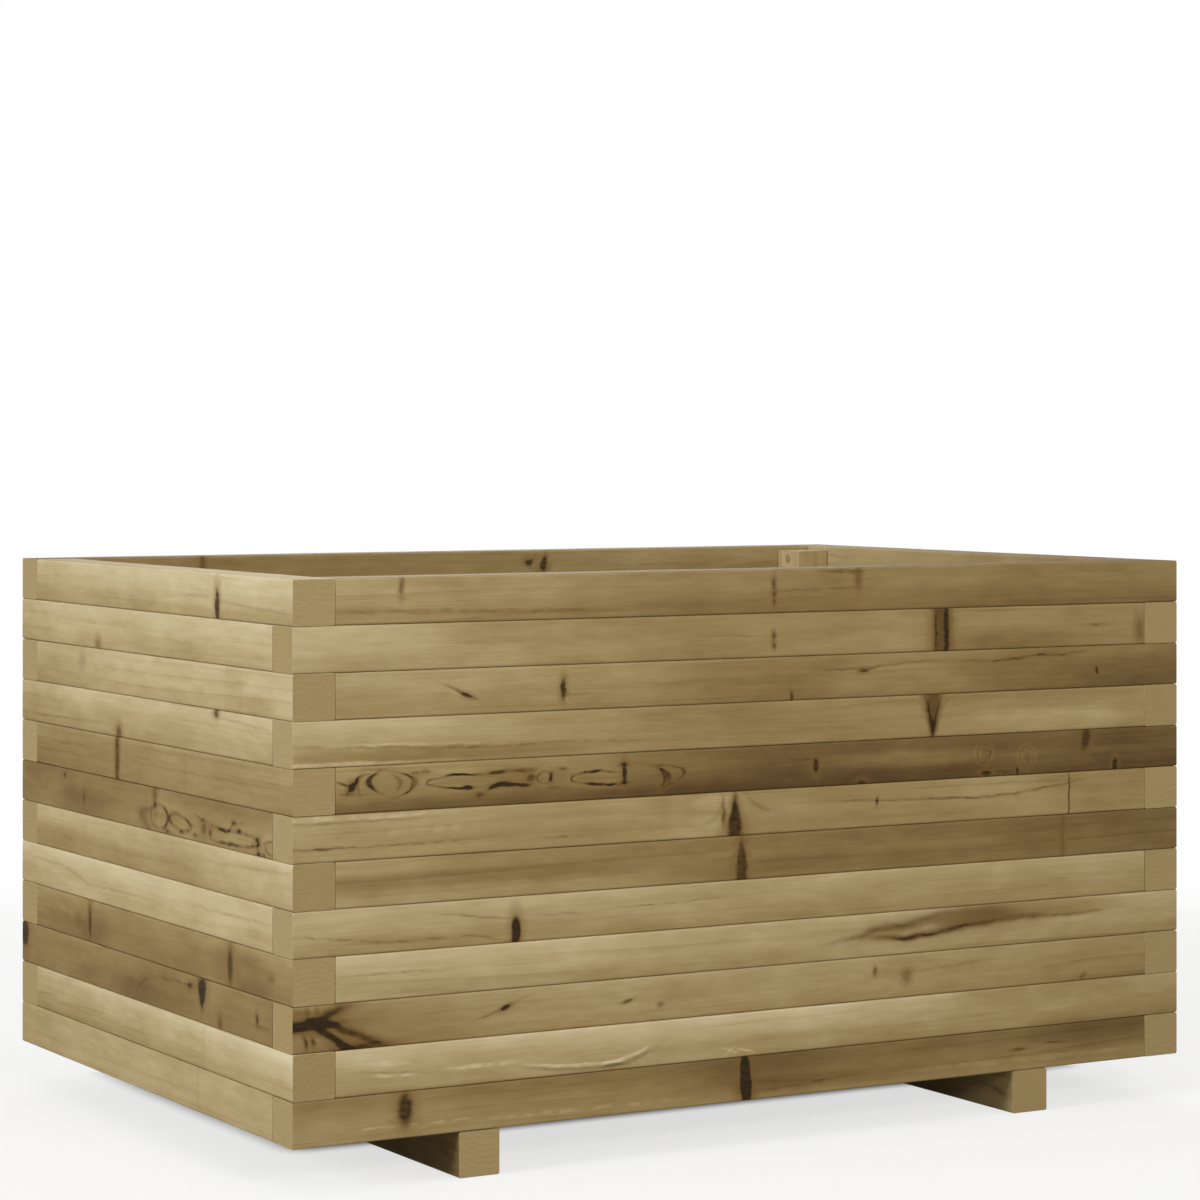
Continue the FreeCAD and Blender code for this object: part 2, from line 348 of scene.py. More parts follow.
LEFT_LOOKS = {}
LEFT_LOOKS[12] = Look("fair light light", 0.15, [
    knot(73.7, 28, 12, 36, 85, 50), line((75.2, 40), (100, 24), 20, 3), line((56, 42), (72, 52), 15, 3),
    *piece(56.4, 105, 0.5, 0),
])
LEFT_LOOKS[11] = Look("fair light light", 0.10, [
    speck(33.7, 10, 12, 12, 25, 30, soft=100), patch(60, 28, 240, 25, -3.5),
])
LEFT_LOOKS[10] = Look("plain light light", 0.07, [
    knot(20.1, 70, 14, 12, 10, 30, soft=100, bulge=30), *piece(76.6, 83, -1.5, 0),
    patch(88, 24, 80, 22, -4), patch(55, 20, 180, 15, -2),
])
LEFT_LOOKS[9] = Look("plain fair fair", 0.12, [
    line((0, 18), (30, 26), 25, 3), speck(80.1, 94, 12, 9, 65, 40), line((81.5, 86), (100, 72), 20, 3),
    knot(42.4, 8, 14, 18, 60),
])
LEFT_LOOKS[8] = Look("brown olive olive", 0.09, [
    knot(34.9, 50, 13, 85, 70, 50, soft=80), arc((3, 50), (15, 62), (30, 58), 20, 3),
    line((37, 84), (92, 90), 15, 3), line((44, 48), (99, 51), 20, 3), *piece(62.5, 105, 1.2, 0),
])
LEFT_LOOKS[7] = Look("brown brown olive", -0.02, [
    patch(12, 50, 260, 70, -2), speck(19.4, 84, 7, 6, 70), speck(27.7, 40, 7, 15, 55, 30),
    knot(56.8, 82, 10, 26, 50, soft=90), patch(75, 20, 420, 30, -2), patch(58.6, 36, 50, 25, 3),
    patch(28, 25, 160, 35, -5), loop(58.6, 37, 50, 27, 56, 10),
    arc((61.5, 52), (62.2, 35), (61.6, 16), 50, 18, soft=160),
    arc((54.5, 56), (52, 32), (54.2, 11), 75, 18, soft=140), loop(66.7, 33.5, 60, 16, 58, 10, tilt=-12),
    arc((69, 44), (70.75, 32), (69, 21), 50, 15, soft=160), speck(61.8, 8, 10, 4, 60, 10),
    speck(67.1, 12, 10, 3, 50, 10), speck(72.3, 13, 10, 3, 50, 10), line((72.8, 58), (76, 50), 65, 4),
    speck(75.6, 33, 13, 12, 55), speck(78, 28, 8, 8, 60), line((78, 45), (82.2, 39), 60, 4),
    line((81.2, 38), (85, 41), 80, 4.5), line((84.5, 40), (86.6, 58), 40, 3.5),
    speck(86.4, 59, 9, 5, 50, 10), speck(88.3, 45, 9, 5, 60, 10), line((86.2, 59), (90.5, 64), 30, 3),
    loop(86.8, 27, 125, 15, 56, 10, tilt=2, opening=-100), line((78, 12), (88, 12), 50, 3.5),
    arc((91, 44), (95.2, 30), (93, 14), 50, 17, soft=160),
    arc((98.5, 39), (96.9, 25), (98.4, 12), 55, 17, soft=160), loop(99.6, 25, 35, 14, 35, 6),
    speck(95.3, 3, 9, 5, 70, 10), speck(97, 4, 5, 4, 60, 10),
])
LEFT_LOOKS[6] = Look("plain plain light", 0.13, [
    patch(8, 25, 180, 30, -3.5), patch(58, 60, 160, 30, -2), line((70, 62), (100, 80), 15, 3.5),
    patch(90, 75, 120, 12, -3),
])
LEFT_LOOKS[5] = Look("light light light", 0.10, [
    patch(6, 20, 140, 30, -4), patch(83, 20, 130, 30, 4), line((2, 68), (21, 63), 15, 3),
    line((18, 66), (31, 35), 20, 3.5), line((28, 37), (52, 41), 20, 3), line((75, 57), (100, 61), 20, 3),
])
LEFT_LOOKS[4] = Look("olive brown olive", 0.085, [
    patch(25, 40, 100, 60, -4), patch(14, 20, 200, 30, -4), patch(82, 40, 130, 50, -5),
    knot(23.5, 45, 10, 42, 75, soft=100), knot(18.3, 41, 20, 12, 10, 40, soft=100),
    knot(78.4, 48, 14, 40, 75, soft=100), speck(92.8, 47, 12, 6, 30),
])
LEFT_LOOKS[3] = Look("brown brown brown", 0.05, [
    knot(1.4, 72, 24, 32, 95, soft=70), knot(74.9, 66, 19, 34, 110, taper=60), knot(70.4, 75, 15, 8, 70),
    line((57, 70), (70, 78), 45, 4), arc((50.5, 28), (52.5, 52), (57.5, 70), 40, 5),
    knot(81.5, 14, 11, 13, 55), speck(94.7, 50, 7, 12, 70, 30), line((93, 36), (98.5, 36), 40, 3.5),
    patch(40, 25, 300, 30, -3), patch(58, 55, 220, 60, -5),
])
LEFT_LOOKS[2] = Look("plain fair light", 0.17, [
    line((-1, 36), (7.5, 41), 30, 3.5), line((14, 34), (28, 42), 20, 3), *piece(68.9, 105, 1, 12),
])
LEFT_LOOKS[1] = Look("plain fair plain", 0.02, [
    *piece(55, 73.4, 0.5, 8), *piece(73.4, 105, 1, 12),
])

SKID_MARKS = [
    line((93, 55), (98.5, 40), 50, 5), broken((40, 30), (75, 42), 30, 4), knot(30, 60, 12, 20, 60),
]
# The left skid's tones, darker than the right skid's and darkest at its front end, are painted shade for
# the shade on its side under the box.
SKID_LOOKS = {
    "left_skid": Look("olive brown umber", 0.0, SKID_MARKS),
    "right_skid": Look("tan tan tan", 0.0, SKID_MARKS),
}

# Hidden timbers: the height past which knots grow no larger, how many knots are tall, and the tones.
WIDEST_KNOTTED = 0.045
TALL_KNOTS_SHARE = 0.35
HIDDEN_TONES = [
    "light light fair", "fair plain plain", "plain plain fair", "plain tan tan",
    "fair plain tan", "tan olive brown", "brown brown olive", "olive tan plain",
]


def hidden_look(draw, height):
    """The look of a timber that the photograph doesn't show, of that height, drawn by chance."""
    size_share = min(1.0, WIDEST_KNOTTED / height)
    tones = draw.choice(HIDDEN_TONES)
    marks = []
    for _ in range(draw.randint(1, 3)):
        tall = size_share == 1.0 and draw.random() < TALL_KNOTS_SHARE
        along = draw.uniform(5, 95)
        up = 50 if tall else draw.uniform(15, 85)
        wide = draw.uniform(6, 14) * size_share
        high = 75 if tall else draw.uniform(8, 28) * size_share
        core = draw.uniform(40, 90)
        taper = draw.uniform(-50, 50)
        marks.append(knot(along, up, wide, high, core, taper=taper, tilt=draw.uniform(-20, 20)))
    for _ in range(draw.randint(2, 4)):
        start, up = draw.uniform(0, 80), draw.uniform(10, 90)
        run, rise = draw.uniform(8, 30), draw.uniform(-15, 15)
        marks.append(broken((start, up), (start + run, up + rise), draw.uniform(12, 35)))
    for _ in range(2):
        along, up = draw.uniform(0, 100), draw.uniform(10, 90)
        marks.append(patch(along, up, draw.uniform(150, 400), draw.uniform(15, 50), draw.uniform(-5, 5)))
    # The drawn number is the painted shading: how much lighter the top is than the bottom.
    return Look(tones, draw.uniform(0.0, 0.12), marks)


# Node trees

def add(tree, kind, inputs=(), **settings):
    """The outputs of a new node, its inputs fed, by place or by name, with values or other sockets."""
    node = tree.nodes.new(f"ShaderNode{kind}")
    for name, value in settings.items():
        setattr(node, name, value)
    for key, value in inputs.items() if isinstance(inputs, dict) else enumerate(inputs):
        if isinstance(value, bpy.types.NodeSocket):
            tree.links.new(value, node.inputs[key])
        else:
            node.inputs[key].default_value = value
    return node.outputs


def tree_of(inputs):
    """The node tree of the first of these inputs that is a socket."""
    return next(value.id_data for value in inputs if isinstance(value, bpy.types.NodeSocket))


def calc(operation, *inputs):
    return add(tree_of(inputs), "Math", inputs, operation=operation)[0]


def times(first, second):
    return calc("MULTIPLY", first, second)


def times_add(first, second, third):
    return calc("MULTIPLY_ADD", first, second, third)


def minus(first, second):
    return calc("SUBTRACT", first, second)


def calc_vector(operation, *inputs):
    outputs = add(tree_of(inputs), "VectorMath", inputs, operation=operation)
    return outputs["Value" if operation in ("DOT_PRODUCT", "LENGTH") else "Vector"]


def scaled(vector, factor):
    inputs = {"Vector": vector, "Scale": factor}
    return add(factor.id_data, "VectorMath", inputs, operation="SCALE")["Vector"]


def ease(value, start, end):
    """0 before the start and 1 after the end, with a smooth step between them."""
    inputs = {"Value": value, "From Min": start, "From Max": end}
    return add(value.id_data, "MapRange", inputs, interpolation_type="SMOOTHSTEP")[0]


def waves(place, counts):
    """Places stretched so that noise on them varies that often in a metre."""
    return calc_vector("MULTIPLY", place, counts)


def noise(place, counts, detail=2.0):
    inputs = {"Vector": waves(place, counts), "Scale": 1.0, "Detail": detail}
    return add(place.id_data, "TexNoise", inputs)[0]


def mix_colours(share, first, second):
    return add(share.id_data, "Mix", {0: share, 6: first, 7: second}, data_type="RGBA")[2]


def linear(colour):
    """A colour of 0 to 255 on screen, as a shader takes it."""
    shares = [level / 255 for level in colour]
    return [s / 12.92 if s <= 0.04045 else ((s + 0.055) / 1.055) ** 2.4 for s in shares] + [1.0]


def ramp(value, stops):
    """A colour that follows a value through these stops, each a position and a colour."""
    colour = add(value.id_data, "ValToRGB", [value])["Color"]
    elements = colour.node.color_ramp.elements
    while len(elements) < len(stops):
        elements.new(1.0)
    for element, (position, level) in zip(elements, stops):
        element.position = position
        element.color = level
    return colour


def new_group(name, inputs, outputs):
    """An empty node group with these sockets, listed by kind, and its two end nodes."""
    tree = bpy.data.node_groups.new(name, "ShaderNodeTree")
    for sockets, side in ((inputs, "INPUT"), (outputs, "OUTPUT")):
        for kind, labels in sockets.items():
            for label in labels.split():
                tree.interface.new_socket(label, in_out=side, socket_type=f"NodeSocket{kind}")
    start = tree.nodes.new("NodeGroupInput").outputs
    end = tree.nodes.new("NodeGroupOutput").inputs
    return tree, start, end


# How far a mark's stain reaches, and where an open loop ends, in their own half sizes.
STAIN_REACH_SHARES = (3.0, 0.5)
LOOP_END_SHARES = (0.8, 0.1)
# How far the glow beside a loop's line reaches, in the line's thicknesses.
GLOW_REACH_SHARE = 3.0
# The least width that a taper leaves.
LEAST_TAPERED_SHARE = 0.15
# What both kinds of mark are given as vectors.
MARK_VECTORS = "Place Marks Centre Along Across Inside Around"


def off_centre(start):
    """How far a place is along and across a mark, in the mark's own half sizes."""
    offset = calc_vector("SUBTRACT", start["Place"], start["Centre"])
    return [calc_vector("DOT_PRODUCT", offset, start[way]) for way in ("Along", "Across")]


def distance(along, across):
    squares = times_add(along, along, times(across, across))
    return calc("SQRT", squares)


def add_mark_effect(tree, start, end, inside, around):
    """Add what a mark does inside itself, and around itself, to what the marks before it did."""
    gaps = minus(start["Dashes"], 1.0)
    inside = times(inside, times_add(gaps, start["Dashed"], 1.0))
    marks = calc_vector("ADD", start["Marks"], scaled(start["Inside"], inside))
    marks = calc_vector("ADD", marks, scaled(start["Around"], around))
    tree.links.new(marks, end["Marks"])


def mark_group():
    """A knot, line or patch: a bent, tapered oval."""
    inputs = {"Vector": MARK_VECTORS, "Float": "Dashes Grain Taper Bow Soft Dashed Bulge"}
    tree, start, end = new_group("pine_mark", inputs, {"Vector": "Marks", "Float": "Grain"})
    along, across = off_centre(start)
    across = times_add(times(along, along), start["Bow"], across)
    width = times_add(across, start["Taper"], 1.0)
    along = calc("DIVIDE", along, calc("MAXIMUM", width, LEAST_TAPERED_SHARE))
    reach = distance(along, across)
    outer = times_add(start["Soft"], 1 / 2, 1.0)
    inner = times_add(start["Soft"], -1 / 2, 1.0)
    inside = ease(reach, outer, inner)
    around = ease(reach, *STAIN_REACH_SHARES)
    add_mark_effect(tree, start, end, inside, around)
    tree.links.new(times_add(around, start["Bulge"], start["Grain"]), end["Grain"])
    return tree


def loop_group():
    """The outline of an oval, of one thickness all round, that can die away on one side."""
    inputs = {"Vector": MARK_VECTORS, "Float": "Dashes Thick Opening Dashed"}
    tree, start, end = new_group("pine_loop", inputs, {"Vector": "Marks"})
    along, across = off_centre(start)
    reach = distance(along, across)
    slope = calc_vector("ADD", scaled(start["Along"], along), scaled(start["Across"], across))
    off_line = calc("ABSOLUTE", minus(reach, 1.0))
    off_line = calc("DIVIDE", times(off_line, reach), calc_vector("LENGTH", slope))
    closed = ease(times(along, start["Opening"]), *LOOP_END_SHARES)
    inside = times(ease(off_line, start["Thick"], 0.0), closed)
    around = ease(off_line, times(start["Thick"], GLOW_REACH_SHARE), 0.0)
    add_mark_effect(tree, start, end, inside, times(around, closed))
    return tree


# How often a layer of grain varies in a metre along and across a timber, and how far it moves the tone.
GRAIN_LAYERS = {
    "fibres": ((16.0, 900.0, 900.0), 0.028),
    "streaks": ((1.8, 70.0, 70.0), 0.045),
    "flecks": ((45.0, 190.0, 190.0), 0.035),
    "blotches": ((13.0, 34.0, 34.0), 0.065),
}
BEND_WAVES = (1.3, 11.0, 11.0)
BEND_DEPTH = 0.016
RING_PATCH_WAVES = (3.0, 40.0, 40.0)
RING_PATCH_LEVELS = (0.38, 0.68)
RING_TONE = 0.05
RING_SHARPNESS = 5.0
BULGE_DEPTH = 0.006


def grain_group():
    """Pine: rings about a pith beside the timber, fibres, streaks, flecks and blotches."""
    inputs = {"Vector": "Place Pith", "Float": "Ring Grain Tone"}
    tree, start, end = new_group("pine_grain", inputs, {"Float": "Tone Relief"})
    place = start["Place"]

    tone = start["Tone"]
    layers = {}
    for name, (counts, depth) in GRAIN_LAYERS.items():
        layers[name] = minus(noise(place, counts), 0.5)
        tone = times_add(layers[name], 2 * depth, tone)

    flat = calc_vector("MULTIPLY", calc_vector("SUBTRACT", place, start["Pith"]), (0, 1, 1))
    radius = calc_vector("LENGTH", flat)
    bend = noise(place, BEND_WAVES)
    radius = times_add(bend, BEND_DEPTH, radius)
    radius = times_add(start["Grain"], BULGE_DEPTH, radius)
    late_wood = calc("FRACT", calc("DIVIDE", radius, start["Ring"]))
    late_wood = calc("POWER", late_wood, RING_SHARPNESS)
    shown = ease(noise(place, RING_PATCH_WAVES), *RING_PATCH_LEVELS)
    tone = times_add(times(late_wood, shown), -RING_TONE, tone)

    tree.links.new(tone, end["Tone"])
    tree.links.new(layers["fibres"], end["Relief"])
    return tree


def pine_colour_group():
    """The colour of pine from its tone, with stains and knots over it."""
    tree, start, end = new_group("pine_colour", {"Float": "Tone Stain Knot"}, {"Color": "Colour"})
    plain = ramp(start["Tone"], [(tone, linear(colour)) for tone, colour in PINE_COLOURS])
    stained = mix_colours(start["Stain"], plain, linear(STAIN_COLOUR))
    rimmed = mix_colours(start["Knot"], stained, linear(RIM_COLOUR))
    knotted = mix_colours(ease(start["Knot"], *KNOT_LEVELS), rimmed, linear(KNOT_COLOUR))
    tree.links.new(knotted, end["Colour"])
    return tree


MARK_GROUP = mark_group()
LOOP_GROUP = loop_group()
GRAIN_GROUP = grain_group()
COLOUR_GROUP = pine_colour_group()

PINE_ROUGHNESS = 0.75
PINE_SPECULAR = 0.15
PINE_RELIEF = 0.0003
PINE_BUMP = 0.6
# How often in a metre, and how far, the marks are moved, broken into dashes and worn.
MARK_WOBBLE_WAVES = (60.0, 0.0, 120.0)
MARK_WOBBLE_DEPTH = 0.004
DASH_WAVES = (60.0, 0.0, 0.0)
DASH_LEVELS = (0.4, 0.6)
WEAR_WAVES = (110.0, 0.0, 300.0)
WEAR_SHARES = (0.65, 0.75)
# How much lighter it is beside a loop's line.
LOOP_GLOW = 0.05
# How much painted shade darkens a timber's top faces, and how far up a face is turned for that to begin and
# be full.
PAINTED_TOP_SHADE = 0.12
TOP_TURN_SHARES = (0.8, 0.98)
# How far from a timber's middle, as shares of its depth, its marks begin and are at their full strength.
MARK_DEPTH_SHARES = (0.2, 0.42)
# How far behind and above a timber's middle its pith can be, and how wide its rings.
PITH_BEHIND = (0.03, 0.09)
PITH_ABOVE = (-0.07, 0.07)
RING_WIDTHS = (0.0045, 0.008)


def new_material(name):
    """An empty material, and its shader's inputs."""
    material = bpy.data.materials.new(name)
    material.use_nodes = True
    tree = material.node_tree
    return material, tree, tree.nodes["Principled BSDF"].inputs


def add_group(tree, group, inputs):
    """The outputs of a node of that group, fed by name."""
    return add(tree, "Group", inputs, node_tree=group)


def on_face(shares, length, height):
    """A place on a timber's outer face, from shares of its length and height."""
    return Vector(((shares[0] - 0.5) * length, 0.0, (shares[1] - 0.5) * height))


def mark_inputs(mark, length, height):
    """A mark's place, size and strength as its node takes them."""
    centre = on_face((mark.along_share, mark.up_share), length, height)
    half_long = mark.wide_share * height
    half_high = mark.high_share * height
    tilt = mark.tilt
    if mark.run_shares:
        run = Vector((mark.run_shares[0] * length, mark.run_shares[1] * height))
        half_long = run.length / 2
        tilt = math.atan2(run.y, run.x)
    along = Vector((math.cos(tilt), 0.0, math.sin(tilt)))
    across = Vector((-along.z, 0.0, along.x))
    inputs = {
        "Centre": centre,
        "Along": along / half_long,
        "Across": across / half_high,
        "Dashed": mark.dashed,
        "Inside": (mark.shift, 0.0, mark.core),
    }
    if mark.loop_share:
        around = (LOOP_GLOW, 0.0, 0.0)
        inputs.update({"Thick": mark.loop_share * height, "Opening": mark.opening, "Around": around})
        return inputs
    bow = 0.0
    if mark.tip_shares:
        inputs["Centre"] = on_face(mark.tip_shares, length, height)
        bow = (inputs["Centre"] - centre).dot(across) / half_high
    inputs.update({"Taper": mark.taper, "Bow": bow, "Soft": mark.soft})
    inputs.update({"Around": (0.0, mark.stain, 0.0), "Bulge": mark.bulge})
    return inputs


def finish_pine(tree, shader, colour, relief):
    """The parts of a pine material that are alike on faces and sawn ends."""
    tree.links.new(colour, shader["Base Color"])
    bump = add(tree, "Bump", {"Height": relief, "Distance": PINE_RELIEF, "Strength": PINE_BUMP})
    tree.links.new(bump[0], shader["Normal"])
    shader["Roughness"].default_value = PINE_ROUGHNESS
    shader["Specular IOR Level"].default_value = PINE_SPECULAR


def seeded_place(tree, draw):
    """The place on a timber, and the same moved by chance so that no two timbers share their noise."""
    place = add(tree, "TexCoord")["Object"]
    far_away = 40.0
    shift = [draw.uniform(-far_away, far_away) for _ in range(3)]
    return place, calc_vector("ADD", place, shift), Vector(shift)


def face_material(name, look, size, draw):
    """The long faces of one timber of that length, depth and height."""
    length, depth, height = size
    material, tree, shader = new_material(name)
    place, moved, shift = seeded_place(tree, draw)

    wobble = add(tree, "TexNoise", {"Vector": waves(moved, MARK_WOBBLE_WAVES), "Scale": 1.0})
    wobble = calc_vector("SUBTRACT", wobble["Color"], (0.5, 0.5, 0.5))
    wobbled = calc_vector("MULTIPLY_ADD", wobble, (MARK_WOBBLE_DEPTH,) * 3, place)
    dashes = ease(noise(moved, DASH_WAVES, detail=1.0), *DASH_LEVELS)
    marks, grain = (0.0, 0.0, 0.0), 0.0
    for mark in look.marks:
        inputs = {"Place": wobbled, "Dashes": dashes, "Marks": marks, **mark_inputs(mark, length, height)}
        if mark.loop_share:
            marks = add_group(tree, LOOP_GROUP, inputs)["Marks"]
            continue
        outputs = add_group(tree, MARK_GROUP, {"Grain": grain, **inputs})
        marks, grain = outputs["Marks"], outputs["Grain"]

    spot = add(tree, "SeparateXYZ", [place])
    span = {"Value": spot["X"], "From Min": -length / 2, "From Max": length / 2}
    greys = [(TONES[word],) * 3 + (1.0,) for word in look.tones.split()]
    tone = ramp(add(tree, "MapRange", span)[0], [(step / 2, grey) for step, grey in enumerate(greys)])
    # Painted shading: each face is lighter towards its top and darker towards its bottom.
    tone = times_add(spot["Z"], look.fade / height, tone)
    turned = add(tree, "SeparateXYZ", [add(tree, "NewGeometry")["Normal"]])
    # Painted shade: faces that are turned up are darkened.
    painted_top_share = ease(turned["Z"], *TOP_TURN_SHARES)
    tone = times_add(painted_top_share, -PAINTED_TOP_SHADE, tone)
    pith = Vector((0.0, draw.uniform(*PITH_BEHIND), draw.uniform(*PITH_ABOVE)))
    ring = draw.uniform(*RING_WIDTHS)
    inputs = {"Place": moved, "Pith": pith + shift, "Ring": ring, "Grain": grain, "Tone": tone}
    pine = add_group(tree, GRAIN_GROUP, inputs)

    near_face = ease(calc("ABSOLUTE", spot["Y"]), *(depth * share for share in MARK_DEPTH_SHARES))
    made = add(tree, "SeparateXYZ", [scaled(marks, near_face)])
    tone = calc("ADD", pine["Tone"], made["X"])
    stain = calc("MINIMUM", made["Y"], MOST_STAIN)
    least_wear, more_wear = WEAR_SHARES
    wear = times_add(noise(moved, WEAR_WAVES), more_wear, least_wear)
    core = times(calc("MINIMUM", made["Z"], 1.0), wear)
    colour = add_group(tree, COLOUR_GROUP, {"Tone": tone, "Stain": stain, "Knot": core})["Colour"]
    finish_pine(tree, shader, colour, pine["Relief"])
    return material


# How far to a side and from the middle of a sawn end its pith can be, and how wide its rings.
END_PITH_ASIDE = (-0.05, 0.05)
END_PITH_AWAY = (0.02, 0.06)
END_RING_WIDTHS = (0.003, 0.0055)
END_RING_SHARPNESS = 3.0
# How far the rings, the roughness and chance move an end's tone.
END_RING_TONE = 0.022
END_ROUGH_TONE = 0.05
END_TONE_CHANCE = 0.012
END_SPECK_WAVES = (0.0, 700.0, 700.0)
END_SAW_WAVES = (0.0, 60.0, 420.0)


def end_material(name, draw):
    """The sawn ends of one timber: rings about its pith, open pores and saw marks."""
    material, tree, shader = new_material(name)
    place, moved, _ = seeded_place(tree, draw)
    aside = draw.uniform(*END_PITH_ASIDE)
    pith = Vector((0.0, aside, draw.choice((-1, 1)) * draw.uniform(*END_PITH_AWAY)))
    flat = calc_vector("MULTIPLY", calc_vector("SUBTRACT", place, pith), (0, 1, 1))
    rings = calc("DIVIDE", calc_vector("LENGTH", flat), draw.uniform(*END_RING_WIDTHS))
    rings = calc("POWER", calc("FRACT", rings), END_RING_SHARPNESS)
    specks = minus(noise(moved, END_SPECK_WAVES), 0.5)
    saw = minus(noise(moved, END_SAW_WAVES), 0.5)
    tone = END_TONE + draw.uniform(-END_TONE_CHANCE, END_TONE_CHANCE)
    tone = times_add(rings, -END_RING_TONE, tone)
    tone = times_add(specks, END_ROUGH_TONE, tone)
    tone = times_add(saw, END_ROUGH_TONE, tone)
    colour = add_group(tree, COLOUR_GROUP, {"Tone": tone})["Colour"]
    finish_pine(tree, shader, colour, calc("ADD", specks, saw))
    return material


# Timbers

def rounded_section(depth, height, radius):
    """The points of a timber's section, as pairs across and up, with rounded corners."""
    points = []
    for corner in range(4):
        start = corner * math.pi / 2
        across = math.copysign(depth / 2 - radius, math.cos(start + math.pi / 4))
        up = math.copysign(height / 2 - radius, math.sin(start + math.pi / 4))
        for step in range(ARRIS_STEPS + 1):
            angle = start + step / ARRIS_STEPS * math.pi / 2
            points.append((across + radius * math.cos(angle), up + radius * math.sin(angle)))
    return points


def stations(length):
    """Where a timber's sections stand along it, and how far each is drawn in to ease the sawn ends."""
    angles = [step / END_EASE_STEPS * math.pi / 2 for step in range(END_EASE_STEPS + 1)]
    ease_in = [(END_EASE * (1 - math.cos(angle)), END_EASE * (1 - math.sin(angle))) for angle in angles]
    count = max(2, round(length / STATION_SPACING))
    middle = [(length * step / count, 0.0) for step in range(1, count)]
    far_end = [(length - along, drawn_in) for along, drawn_in in reversed(ease_in)]
    return [(along - length / 2, drawn_in) for along, drawn_in in ease_in + middle + far_end]


def finished_mesh(name, shape):
    """A mesh of a closed shape, which is used up."""
    bmesh.ops.recalc_face_normals(shape, faces=shape.faces)
    mesh = bpy.data.meshes.new(name)
    shape.to_mesh(mesh)
    shape.free()
    return mesh


def timber_mesh(name, size, draw):
    """A planed stick along X, never larger than that size, with its sawn ends in material slot 1."""
    length, depth, height = size
    shape = bmesh.new()
    section = rounded_section(depth, height, ARRIS_RADIUS)
    rings = []
    for along, drawn_in in stations(length - 2 * END_GAP):
        planed = [draw.uniform(0.0, PLANING_DEPTH) + drawn_in for _ in range(4)]
        ring = []
        for across, up in section:
            across -= math.copysign(planed[0 if across > 0 else 1], across)
            up -= math.copysign(planed[2 if up > 0 else 3], up)
            ring.append(shape.verts.new((along, across, up)))
        rings.append(ring)
    for ring, following in zip(rings, rings[1:]):
        for index in range(len(section)):
            shape.faces.new((ring[index - 1], ring[index], following[index], following[index - 1]))
    for ring in (rings[0], rings[-1]):
        shape.faces.new(ring).material_index = 1
    return finished_mesh(name, shape)


def add_piece(name, data):
    """A new object with that mesh, light or camera."""
    made = bpy.data.objects.new(name, data)
    scene.collection.objects.link(made)
    return made


def middle(node):
    low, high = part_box(node)
    return (Vector(low) + Vector(high)) / 2


def extent(node):
    low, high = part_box(node)
    return Vector(high) - Vector(low)


def cut(made, cutters):
    """Cut closed shapes, given in the frame, out of a piece."""
    cutter = add_piece("cutters", finished_mesh("cutters", cutters))
    tool = made.modifiers.new("cut", "BOOLEAN")
    tool.operation = "DIFFERENCE"
    tool.solver = "EXACT"
    tool.object = cutter
    bpy.context.view_layer.update()
    made_so_far = made.evaluated_get(bpy.context.evaluated_depsgraph_get())
    finished = bpy.data.meshes.new_from_object(made_so_far)
    made.modifiers.clear()
    made.data = finished
    bpy.data.objects.remove(cutter)


def make_timber(node, turn, look=None, cutters=None):
    """A stick of pine in place of a node, its own X turned to run along the node."""
    draw = random.Random(node)
    size = [abs(side) for side in turn.to_3x3().inverted() @ extent(node)]
    name = f"pine_{node}"
    look = look or hidden_look(draw, size[2])
    made = add_piece(name, timber_mesh(name, size, draw))
    made.data.materials.append(face_material(f"{name}_faces", look, size, draw))
    made.data.materials.append(end_material(f"{name}_ends", draw))
    made.matrix_world = Matrix.Translation(middle(node)) @ turn
    if cutters:
        cut(made, cutters)
    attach(made, "root")
    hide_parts(node)


def make_timbers():
    looks = {"front": FRONT_LOOKS, "left": LEFT_LOOKS}
    along_z = Matrix.Rotation(-math.pi / 2, 4, "Y")
    for wall in WALLS:
        turn = Matrix.Rotation(WALL_TURN[wall], 4, "Z")
        for course in COURSES:
            make_timber(bar_name(wall, course), turn, looks.get(wall, {}).get(course))
    for corner in CORNERS:
        make_timber(post_name(corner), along_z, cutters=screw_pockets(post_name(corner)))
    for node in SKIDS:
        turn = Matrix.Rotation(WALL_TURN["left"], 4, "Z")
        make_timber(node, turn, SKID_LOOKS[node], screw_pockets(node))
    face_up = Matrix.Rotation(-math.pi / 2, 4, "X")
    for node in BOARDS:
        cutters = screw_pockets(node)
        add_notches(cutters, node)
        make_timber(node, face_up, cutters=cutters)


# Screws

SCREW_SIDES = 24
SCREW_DIAMETER = 0.0045
SCREW_HEAD_DIAMETER = 0.009
SCREW_HEAD_DEPTH = 0.004
SCREW_HEAD_EDGE = 0.00015
SCREW_TIP_LENGTH = 0.006
SCREW_TIP_DIAMETER = 0.0003

# How deep a screw's head is sunk, and how far its tip goes into the second timber.
SCREW_RECESS = 0.0005
SCREW_BITE = 0.0225

# The cross in a screw's head.
DRIVE_ARM = 0.0024
DRIVE_HALF_WIDTH = 0.0006
DRIVE_DEPTH = 0.0018
DRIVE_BOTTOM_SHARE = 0.55
LEAST_SINE = 0.01

# In a post the two screws of a course pass each other, one this far above its middle and one below.
SCREW_STAGGER = 0.006
BOARD_SCREW_INSET = 0.025

# The shallow pocket that shows round a screw's head, and the boards' gap round a post.
POCKET_DEPTH = 0.0006
POCKET_PLAY = 0.0002
POCKET_FLARE = 0.0002
CUT_OVERRUN = 0.001
BOARD_POST_GAP = 0.002


@dataclass
class Screw:
    """A screw of a group, its head on a face of the timber that it is driven through."""

    group: str
    through: str
    head: Vector
    way: Vector
    reach: float


